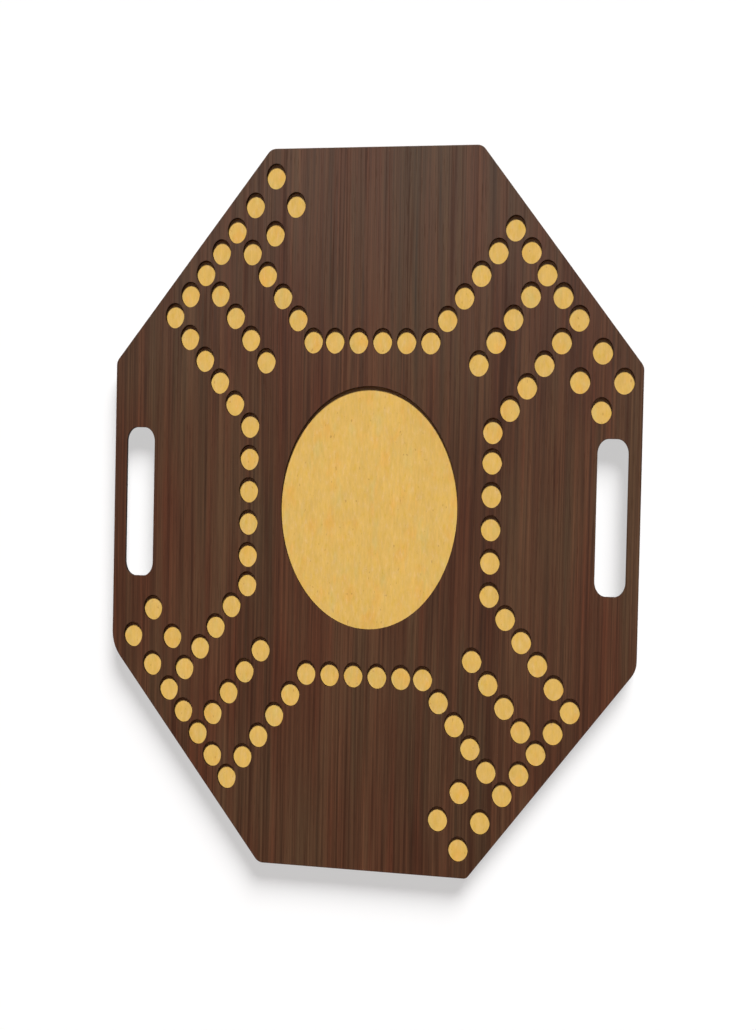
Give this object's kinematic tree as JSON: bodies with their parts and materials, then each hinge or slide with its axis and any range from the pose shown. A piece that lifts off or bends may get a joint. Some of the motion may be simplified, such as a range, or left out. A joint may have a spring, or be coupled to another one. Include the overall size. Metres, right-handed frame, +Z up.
{
  "type": "marble race board",
  "caption": "Flat octagonal race-game board: dark grained top sheet pierced with oval marble wells and an oval card window over a honey floor panel, with hand slots and rubber feet.",
  "frame": {"origin": "Middle of the board on the surface that its feet stand on.", "axes": "+X across the board from one hand slot to the other, +Y along its length, +Z up out of the face with the wells."},
  "size_m": [0.466, 0.634, 0.019],
  "materials": {
    "dark_grain_face": "satin, dark straight grain",
    "honey_panel": "satin, honey-coloured fine fibre",
    "core_fibreboard": "matt, raw fibreboard",
    "back_laminate": "matt, fine texture",
    "dark_edge_wood": "satin, dark straight grain",
    "slot_band": "satin, dark",
    "foot_rubber": "matt",
    "steel": "zinc plated"
  },
  "bodies": {
    "root": {"top_sheet": "dark_grain_face", "floor_panel": "honey_panel", "core_board": "core_fibreboard", "back_sheet": "back_laminate", "edge_strip_far": "dark_edge_wood", "edge_strip_far_right": "dark_edge_wood", "edge_strip_right": "dark_edge_wood", "edge_strip_near_right": "dark_edge_wood", "edge_strip_near": "dark_edge_wood", "edge_strip_near_left": "dark_edge_wood", "edge_strip_left": "dark_edge_wood", "edge_strip_far_left": "dark_edge_wood", "slot_band_left": "slot_band", "slot_band_right": "slot_band", "foot_1": "foot_rubber", "foot_2": "foot_rubber", "foot_3": "foot_rubber", "foot_4": "foot_rubber", "foot_5": "foot_rubber", "foot_6": "foot_rubber", "foot_7": "foot_rubber", "foot_8": "foot_rubber", "foot_washers": "steel", "foot_screws": "steel"}
  },
  "joints": []
}
